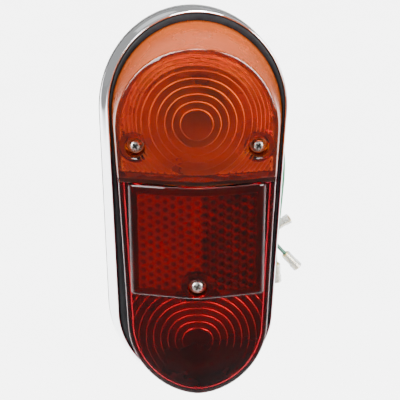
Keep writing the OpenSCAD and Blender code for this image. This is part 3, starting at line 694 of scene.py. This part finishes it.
def helper(verts, faces, name="helper"):
    """A throwaway closed mesh for a boolean."""
    mesh = bpy.data.meshes.new(name)
    mesh.from_pydata([Vector(v) * MM for v in verts], [], faces)
    bm = bmesh.new()
    bm.from_mesh(mesh)
    bmesh.ops.remove_doubles(bm, verts=bm.verts, dist=2e-6)
    bmesh.ops.recalc_face_normals(bm, faces=bm.faces)
    bm.to_mesh(mesh)
    bm.free()
    obj = bpy.data.objects.new(name, mesh)
    bpy.context.scene.collection.objects.link(obj)
    return obj


BOX_FACES = [[0, 1, 2, 3], [4, 5, 6, 7], [0, 1, 5, 4], [1, 2, 6, 5], [2, 3, 7, 6], [3, 0, 4, 7]]


def turned(profile, centre, steps=64, name="helper"):
    """A throwaway turned solid along Y from [radius, y] points; closed by its end caps."""
    verts, n = [], len(profile)
    for r, y in profile:
        for k in range(steps):
            a = (k + 0.5) * TAU / steps
            verts.append((centre[0] + r * math.cos(a), y, centre[1] + r * math.sin(a)))
    faces = grid_faces(n, steps, close_columns=True)
    faces += [list(range(steps)), [(n - 1) * steps + k for k in range(steps)]]
    return helper(verts, faces, name)


AMBER_SCREW = (27.0, 41.0)
RED_SCREW_Z = -23.5
AMBER_HEAD_R, RED_HEAD_R, HEAD_H = 2.7, 3.1, 2.4
AMBER_SEAT_Y = roof_y(27.0) + 6.5
RED_SEAT_Y = RIDGE_Y + 4
WELL_R, WELL_WALL, SCREW_R = 4.4, 2.5, 1.5
AMBER_CENTRE = (0.0, 52.6)
RED_CENTRE = (0.0, -51.6)


def well_cutter(x, z, seat_y):
    """The space of a screw well, open to the front."""
    r = WELL_R
    return turned([(0.01, RIDGE_Y - 6), (r + 0.55, RIDGE_Y - 6),
                   (r + 0.55, roof_y(abs(x)) - 1.3 + (1.3 if x else -0.1)),
                   (r + 0.12, roof_y(abs(x)) + 0.5 - (0 if x else 1.3)),
                   (r, roof_y(abs(x)) + 1.2 - (0 if x else 1.3)), (r, seat_y - 0.4),
                   (r - 0.4, seat_y), (0.01, seat_y)], (x, z), name="well")


def add_amber_lens(materials):
    """The indicator lens: shell, two screw wells and the strip that laps the red lens."""
    rings = [(6.87 + 3.38 * i, 0.9) for i in range(6)]
    rings += [(26.0 + 1.75 * i, 1.0) for i in range(9)]
    columns = lens_columns(True, 190, 24, 100)
    lens = build_lens("amber_lens_shell", True, SEAM_Z, AMBER_CENTRE, rings, lambda z: 1.0,
                      "amber_lens_body", columns)
    for m in materials:
        lens.data.materials.append(m)
    for s in (-1, 1):
        x, z = s * AMBER_SCREW[0], AMBER_SCREW[1]
        r = WELL_R + WELL_WALL
        boss = turned([(0.01, AMBER_SEAT_Y + LENS_WALL), (r - 0.5, AMBER_SEAT_Y + LENS_WALL),
                       (r, AMBER_SEAT_Y + LENS_WALL - 0.5), (r, roof_y(27) + 2.0),
                       (0.01, roof_y(27) + 2.0)], (x, z), name="boss")
        skin = wall_clip(True, SEAM_Z)
        cut_with(boss, [skin], "INTERSECT")
        cut_with(lens, [boss], "UNION")
        cut_with(lens, [well_cutter(x, z, AMBER_SEAT_Y)])
        hole = turned([(0.01, AMBER_SEAT_Y - 1), (SCREW_R + 0.3, AMBER_SEAT_Y - 1),
                       (SCREW_R + 0.3, AMBER_SEAT_Y + 5), (0.01, AMBER_SEAT_Y + 5)], (x, z), 32)
        cut_with(lens, [hole])
    # the lap: a strip that covers the top of the red lens
    cut_with(lens, [lap_strip()], "UNION")
    resharpen(lens, 24)
    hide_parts("amber_lens")
    return lens


def wall_clip(upper, cut_z):
    """The lens body as a plain solid, to trim bosses that touch the wall."""
    columns = lens_columns(upper, 60, 8, 12, per=1)
    verts = []
    for t in (0, 1.1):
        for c in columns:
            x, z = wall_point(c, t, 0.4, upper, cut_z)
            verts.append((x, FLANGE_Y - RISE * t, z))
    n = len(columns)
    faces = grid_faces(2, n, close_columns=True)
    faces += [list(range(n)), [n + k for k in range(n)]]
    return helper(verts, faces, "clip")


def lap_strip():
    """Runs along the roof from side to side, 1.1 thick, from just above the seam down to it."""
    top_z, low_z = SEAM_Z + 0.6, SEAM_Z - 2.0
    half = wall_point(("seam", 0), 0.9, 0.1, True, SEAM_Z)[0]
    xs = [-half + 2 * half * k / 60 for k in range(61)]
    section = [(top_z, 0.12), (low_z + 0.35, 0.0), (low_z + 0.1, 0.1), (low_z, 0.35),
               (low_z, 1.0), (low_z + 0.2, 1.1), (top_z, 1.1)]
    verts = []
    for x in xs:
        t = (FLANGE_Y - roof_y(x, 0.8)) / RISE
        limit = wall_point(("seam", 0), t, 0.05, True, SEAM_Z)[0]
        for z, drop in section:
            verts.append((max(-limit, min(limit, x)), roof_y(x, drop), z))
    n = len(section)
    faces = grid_faces(len(xs), n, close_columns=True)
    faces += [list(range(n)), [len(verts) - n + k for k in range(n)]]
    return helper(verts, faces, "lap")


BLOCK_HALF, BLOCK_PROUD, BLOCK_TOP_Z = 31.2, 1.2, SEAM_Z - 2.3


def block_solid():
    """The raised block over the reflector, with rounded side, top and bottom edges."""
    radius = 3.2
    section = []
    for k in range(7):
        a = k / 6 * math.pi / 2
        section.append((BLOCK_HALF - radius + radius * math.cos(a), radius - radius * math.sin(a)))
    inside = [(x / 20 * (BLOCK_HALF - radius - 0.8), 0.0) for x in range(20, -21, -1)]
    section = section + inside + [(-x, d) for x, d in reversed(section)]
    levels = [(BLOCK_TOP_Z, 0.7), (BLOCK_TOP_Z - 0.2, 0.25), (BLOCK_TOP_Z - 0.7, 0.0)]
    steps = 10
    levels += [(BLOCK_TOP_Z - 0.7 + (BLOCK_BOTTOM_Z + 1.4 - BLOCK_TOP_Z) * k / steps, 0.0)
               for k in range(1, steps + 1)]
    levels += [(BLOCK_BOTTOM_Z + 0.2, 0.25), (BLOCK_BOTTOM_Z, 0.7)]
    verts = []
    for z, sink in levels:
        narrow = sink * 0.5
        row = []
        for x, d in section:
            x = math.copysign(max(0, abs(x) - narrow), x)
            row.append((x, roof_y(x) - BLOCK_PROUD + d + sink, z))
        edge = row[0][0]
        back = roof_y(edge) + 2.0
        row = [(edge, back, z)] + row + [(-edge, back, z)]
        row += [(x / 10 * edge, roof_y(x / 10 * edge) + 2.0, z) for x in range(-9, 10)]
        verts += row
    n = len(verts) // len(levels)
    faces = grid_faces(len(levels), n, close_columns=True)
    faces += [list(range(n)), [len(verts) - n + k for k in range(n)]]
    return helper(verts, faces, "block")


def add_red_lens(materials):
    """The red lens: shell, room for the lap, raised block and one screw well."""
    rings = [(6.92 + 3.39 * i, 0.9) for i in range(12)]
    columns = lens_columns(False, 120, 70, 120)
    lens = build_lens("red_lens_shell", False, SEAM_Z - 0.3, RED_CENTRE, rings,
                      lambda z: min(1.0, max(0.0, (-29.6 - z) / 0.8)),
                      "red_lens_body", columns)
    for m in materials:
        lens.data.materials.append(m)
    # room for the lap of the amber lens
    half = 45
    xs = [-half + k * 1.5 for k in range(61)]
    verts = []
    for x in xs:
        for z, drop in ((SEAM_Z + 1, -3), (BLOCK_TOP_Z, -3), (BLOCK_TOP_Z, 1.4),
                        (SEAM_Z + 1, 1.4)):
            verts.append((x, roof_y(x, drop), z))
    faces = grid_faces(len(xs), 4, close_columns=True)
    faces += [[0, 1, 2, 3], [len(verts) - 4 + k for k in range(4)]]
    cut_with(lens, [helper(verts, faces, "step")], solver="MANIFOLD")
    cut_with(lens, [block_solid()], "UNION", "MANIFOLD")
    seat = RED_SEAT_Y
    r = WELL_R + WELL_WALL
    boss = turned([(0.01, seat + LENS_WALL), (r - 0.5, seat + LENS_WALL),
                   (r, seat + LENS_WALL - 0.5), (r, RIDGE_Y + 1.5), (0.01, RIDGE_Y + 1.5)],
                  (0, RED_SCREW_Z), name="boss")
    cut_with(lens, [boss], "UNION", "MANIFOLD")
    cut_with(lens, [well_cutter(0, RED_SCREW_Z, seat)], solver="MANIFOLD")
    cut_with(lens, [turned([(0.01, seat - 1), (SCREW_R + 0.3, seat - 1),
                            (SCREW_R + 0.3, seat + 5), (0.01, seat + 5)],
                           (0, RED_SCREW_Z), 32)], solver="MANIFOLD")
    drop_empty_slots(lens)
    resharpen(lens, 24)
    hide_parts("red_lens")
    return lens


# ---------------------------------------------------------------- reflector

REFLEX_W, REFLEX_H, REFLEX_Z = 53.0, 46.0, SEAM_Z - 2 - 5.5 - 23.0


def add_reflex(mats):
    """Cube corners on a hexagonal lattice: deep middles and two heights round every rim. The left
    flank's rims take a lit red, the right's a shaded red, and the middles darker reds: painted
    light and painted shade.
    """
    R = 2.31
    front, back = LENS_WALL + 0.35, LENS_WALL + 2.2
    step_x, step_z = 1.5 * R, math.sqrt(3) * R
    low = 1.5
    verts, faces, marks, index = [], [], [], {}

    def corner(key, x, z, depth):
        if key not in index:
            index[key] = len(verts)
            verts.append((x, roof_y(x, front + depth), z))
        return index[key]

    for i in range(-9, 10):
        for j in range(-8, 9):
            cx, cz = i * step_x, REFLEX_Z + (j + (0.5 if i % 2 else 0)) * step_z
            if abs(cx) > REFLEX_W / 2 + R or abs(cz - REFLEX_Z) > REFLEX_H / 2 + R:
                continue
            # Painted light and shade: rims on the left take the lit red, rims on the right take the
            # shaded red, and every middle takes a darker red of painted shade.
            middle = 3 if cx > 1 else 2
            rim = []
            for k in range(6):
                x = cx + R * math.cos(k * math.pi / 3)
                z = cz + R * math.sin(k * math.pi / 3)
                shared = ("rim", round(2 * x / R), round(2 * (z - REFLEX_Z) / step_z))
                rim.append(corner(shared, x, z, low * 0.5 if k % 2 else 0.0))
            share = 0.56
            inner = [corner((i, j, k), cx + share * R * math.cos(k * math.pi / 3),
                            cz + share * R * math.sin(k * math.pi / 3),
                            low * (1 - share * (0.5 if k % 2 else 1.0))) for k in range(6)]
            mid = corner((i, j), cx, cz, low)
            for k in range(6):
                faces.append([rim[k], rim[(k + 1) % 6], inner[(k + 1) % 6], inner[k]])
                marks.append(0 if cx < 1 else 1)
            for k in (1, 3, 5):
                faces.append([mid, inner[k], inner[(k + 1) % 6], inner[(k + 2) % 6]])
                marks.append(middle)
    n = len(verts)
    used = {(a, b) for face in faces for a, b in zip(face, face[1:] + face[:1])}
    sides = [[a, b, b + n, a + n] for a, b in used if (b, a) not in used]
    faces += [[v + n for v in face[::-1]] for face in faces] + sides
    verts += [(x, roof_y(x, back), z) for x, _, z in verts]
    obj = helper(verts, faces, "reflex_sheet")
    for m in mats:
        obj.data.materials.append(m)
    for polygon, mark in zip(obj.data.polygons, marks):
        polygon.material_index = mark
    w, h = REFLEX_W / 2, REFLEX_H / 2
    box = helper([(sx * w, y, REFLEX_Z + sz * h) for y in (-60, -20)
                  for sx, sz in ((-1, -1), (1, -1), (1, 1), (-1, 1))], BOX_FACES)
    cut_with(obj, [box], "INTERSECT", "MANIFOLD")
    cut_with(obj, [turned([(0.01, -60), (7.5, -60), (7.5, -20), (0.01, -20)], (0, RED_SCREW_Z))],
             solver="MANIFOLD")
    drop_empty_slots(obj)
    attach(obj, "red_lens_body")
    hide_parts("reflex_insert")
    return obj


# ---------------------------------------------------------------- screws

def add_screw(name, head_r, x, z, seat_y, mats):
    """A lens screw with a domed head and a cross recess; mats are its metal and its recess, whose
    dark grey is painted shade.
    """
    y = seat_y - 0.85
    tip = seat_y + LENS_WALL + 8.3
    profile = [(0.01, tip), (1.0, tip), (1.5, tip - 0.6), (1.5, y - 0.15), (1.7, y),
               (head_r - 0.15, y), (head_r, y - 0.15), (head_r, y - 0.7)]
    for k in range(1, 8):
        a = k / 7 * math.pi / 2
        profile.append((head_r * math.cos(a) ** 0.55 + 0.01,
                        y - 0.7 - (HEAD_H - 0.7) * math.sin(a)))
    screw = turned(profile, (x, z), 48, name)
    screw.data.materials.append(mats[0])
    screw.data.materials.append(mats[1])
    turn = math.radians(45 + 10 * (1 if x > 0 else -1 if x < 0 else 2))
    for k in range(2):
        c, s = math.cos(turn + k * math.pi / 2), math.sin(turn + k * math.pi / 2)
        verts = []
        for dy, length, width in ((-HEAD_H - 0.5, head_r * 0.72, 0.5),
                                  (-HEAD_H + 1.6, 0.5, 0.3)):
            for a, b in ((-1, -1), (1, -1), (1, 1), (-1, 1)):
                u, v = a * length, b * width
                verts.append((x + u * c - v * s, y + dy, z + u * s + v * c))
        box = helper(verts, BOX_FACES)
        box.data.materials.append(mats[0])
        box.data.materials.append(mats[1])
        # The recess faces take the dark grey of painted shade.
        for polygon in box.data.polygons:
            polygon.material_index = 1
        cut_with(screw, [box])
    resharpen(screw, 35)
    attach(screw, name.replace("_head", ""))
    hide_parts(name.replace("_head", ""))


# ---------------------------------------------------------------- floor and light

FLOOR_Z, FLOOR_HALF = -0.22, 3
WORLD_STRENGTH = 0.45


def add_studio(floor_mat):
    """Pale floor, even world light and soft panels, in metres; the softboxes skip the floor."""
    mesh = bpy.data.meshes.new("floor")
    corners = ((-1, -1), (1, -1), (1, 1), (-1, 1))
    mesh.from_pydata([(FLOOR_HALF * x, FLOOR_HALF * y, FLOOR_Z) for x, y in corners], [],
                     [[0, 1, 2, 3]])
    floor = bpy.data.objects.new("floor", mesh)
    floor.data.materials.append(floor_mat)
    bpy.context.scene.collection.objects.link(floor)
    world = bpy.data.worlds.new("studio")
    bpy.context.scene.world = world
    world.use_nodes = True
    world.node_tree.nodes["Background"].inputs["Color"].default_value = (1, 1, 1, 1)
    world.node_tree.nodes["Background"].inputs["Strength"].default_value = WORLD_STRENGTH
    aim_at = Vector((0, -0.02, 0))
    unlit = bpy.data.collections.new("not_lit_by_softboxes")
    unlit.objects.link(floor)
    unlit.collection_objects[0].light_linking.link_state = "EXCLUDE"
    for name, place, aim, size, power, spread in (
            ("left_softbox", (-0.55, -0.6, 0.28), aim_at, (0.4, 0.6), 7.0, 100),
            ("right_softbox", (0.6, -0.5, 0.22), aim_at, (0.4, 0.6), 8.0, 100),
            ("top_softbox", (0.0, -0.3, 0.8), aim_at, (0.6, 0.4), 6.0, 120),
            ("back_softbox", (0.0, 1.0, 0.85), aim_at, (1.6, 0.9), 1.5, 120),
            ("floor_panel", (0.0, 1.2, 0.9), Vector((0, 1.2, 0)), (1.6, 2.7), 90.0, 20)):
        data = bpy.data.lights.new(name, "AREA")
        data.shape = "RECTANGLE"
        data.size, data.size_y = size
        data.energy = power
        data.spread = math.radians(spread)
        light = bpy.data.objects.new(name, data)
        light.location = place
        light.rotation_euler = (aim - Vector(place)).to_track_quat("-Z", "Y").to_euler()
        bpy.context.scene.collection.objects.link(light)
        if name != "floor_panel":
            light.light_linking.receiver_collection = unlit


# ---------------------------------------------------------------- main

add_camera()
paints = make_paints()
add_leads({"indicator": paints["green_pvc"], "stop": paints["dark_green_pvc"],
           "tail": paints["green_pvc"]})
slots = {s["node"]: s["material_slot"] for s in frame["record"]["subparts"]}
for node, cad in frame["nodes"].items():
    cad.data.materials.clear()
    cad.data.materials.append(paints[slots[node]])
trims = add_trims()
trims[0].data.materials.append(paints["chrome"])
trims[1].data.materials.append(paints["black_rubber"])
add_gasket(paints["foam_rubber"])
add_amber_lens([paints["amber_acrylic"], paints["amber_inside"], paints["amber_riser_painted_highlight"],
                paints["amber_wall_painted_sheen"]])
add_red_lens([paints["red_acrylic"], paints["red_inside_painted_shade"], paints["red_riser_painted_highlight"],
              paints["red_wall_painted_sheen"]])
add_reflex([paints[f"reflex_{n}"] for n in ("left", "right", "left_middle", "right_middle")])
screw_paints = [paints["zinc_steel"], paints["recess"]]
add_screw("left_amber_screw_head", AMBER_HEAD_R, -AMBER_SCREW[0], AMBER_SCREW[1], AMBER_SEAT_Y,
          screw_paints)
add_screw("right_amber_screw_head", AMBER_HEAD_R, AMBER_SCREW[0], AMBER_SCREW[1], AMBER_SEAT_Y,
          screw_paints)
add_screw("red_screw_head", RED_HEAD_R, 0, RED_SCREW_Z, RED_SEAT_Y, screw_paints)
add_studio(paints["floor"])
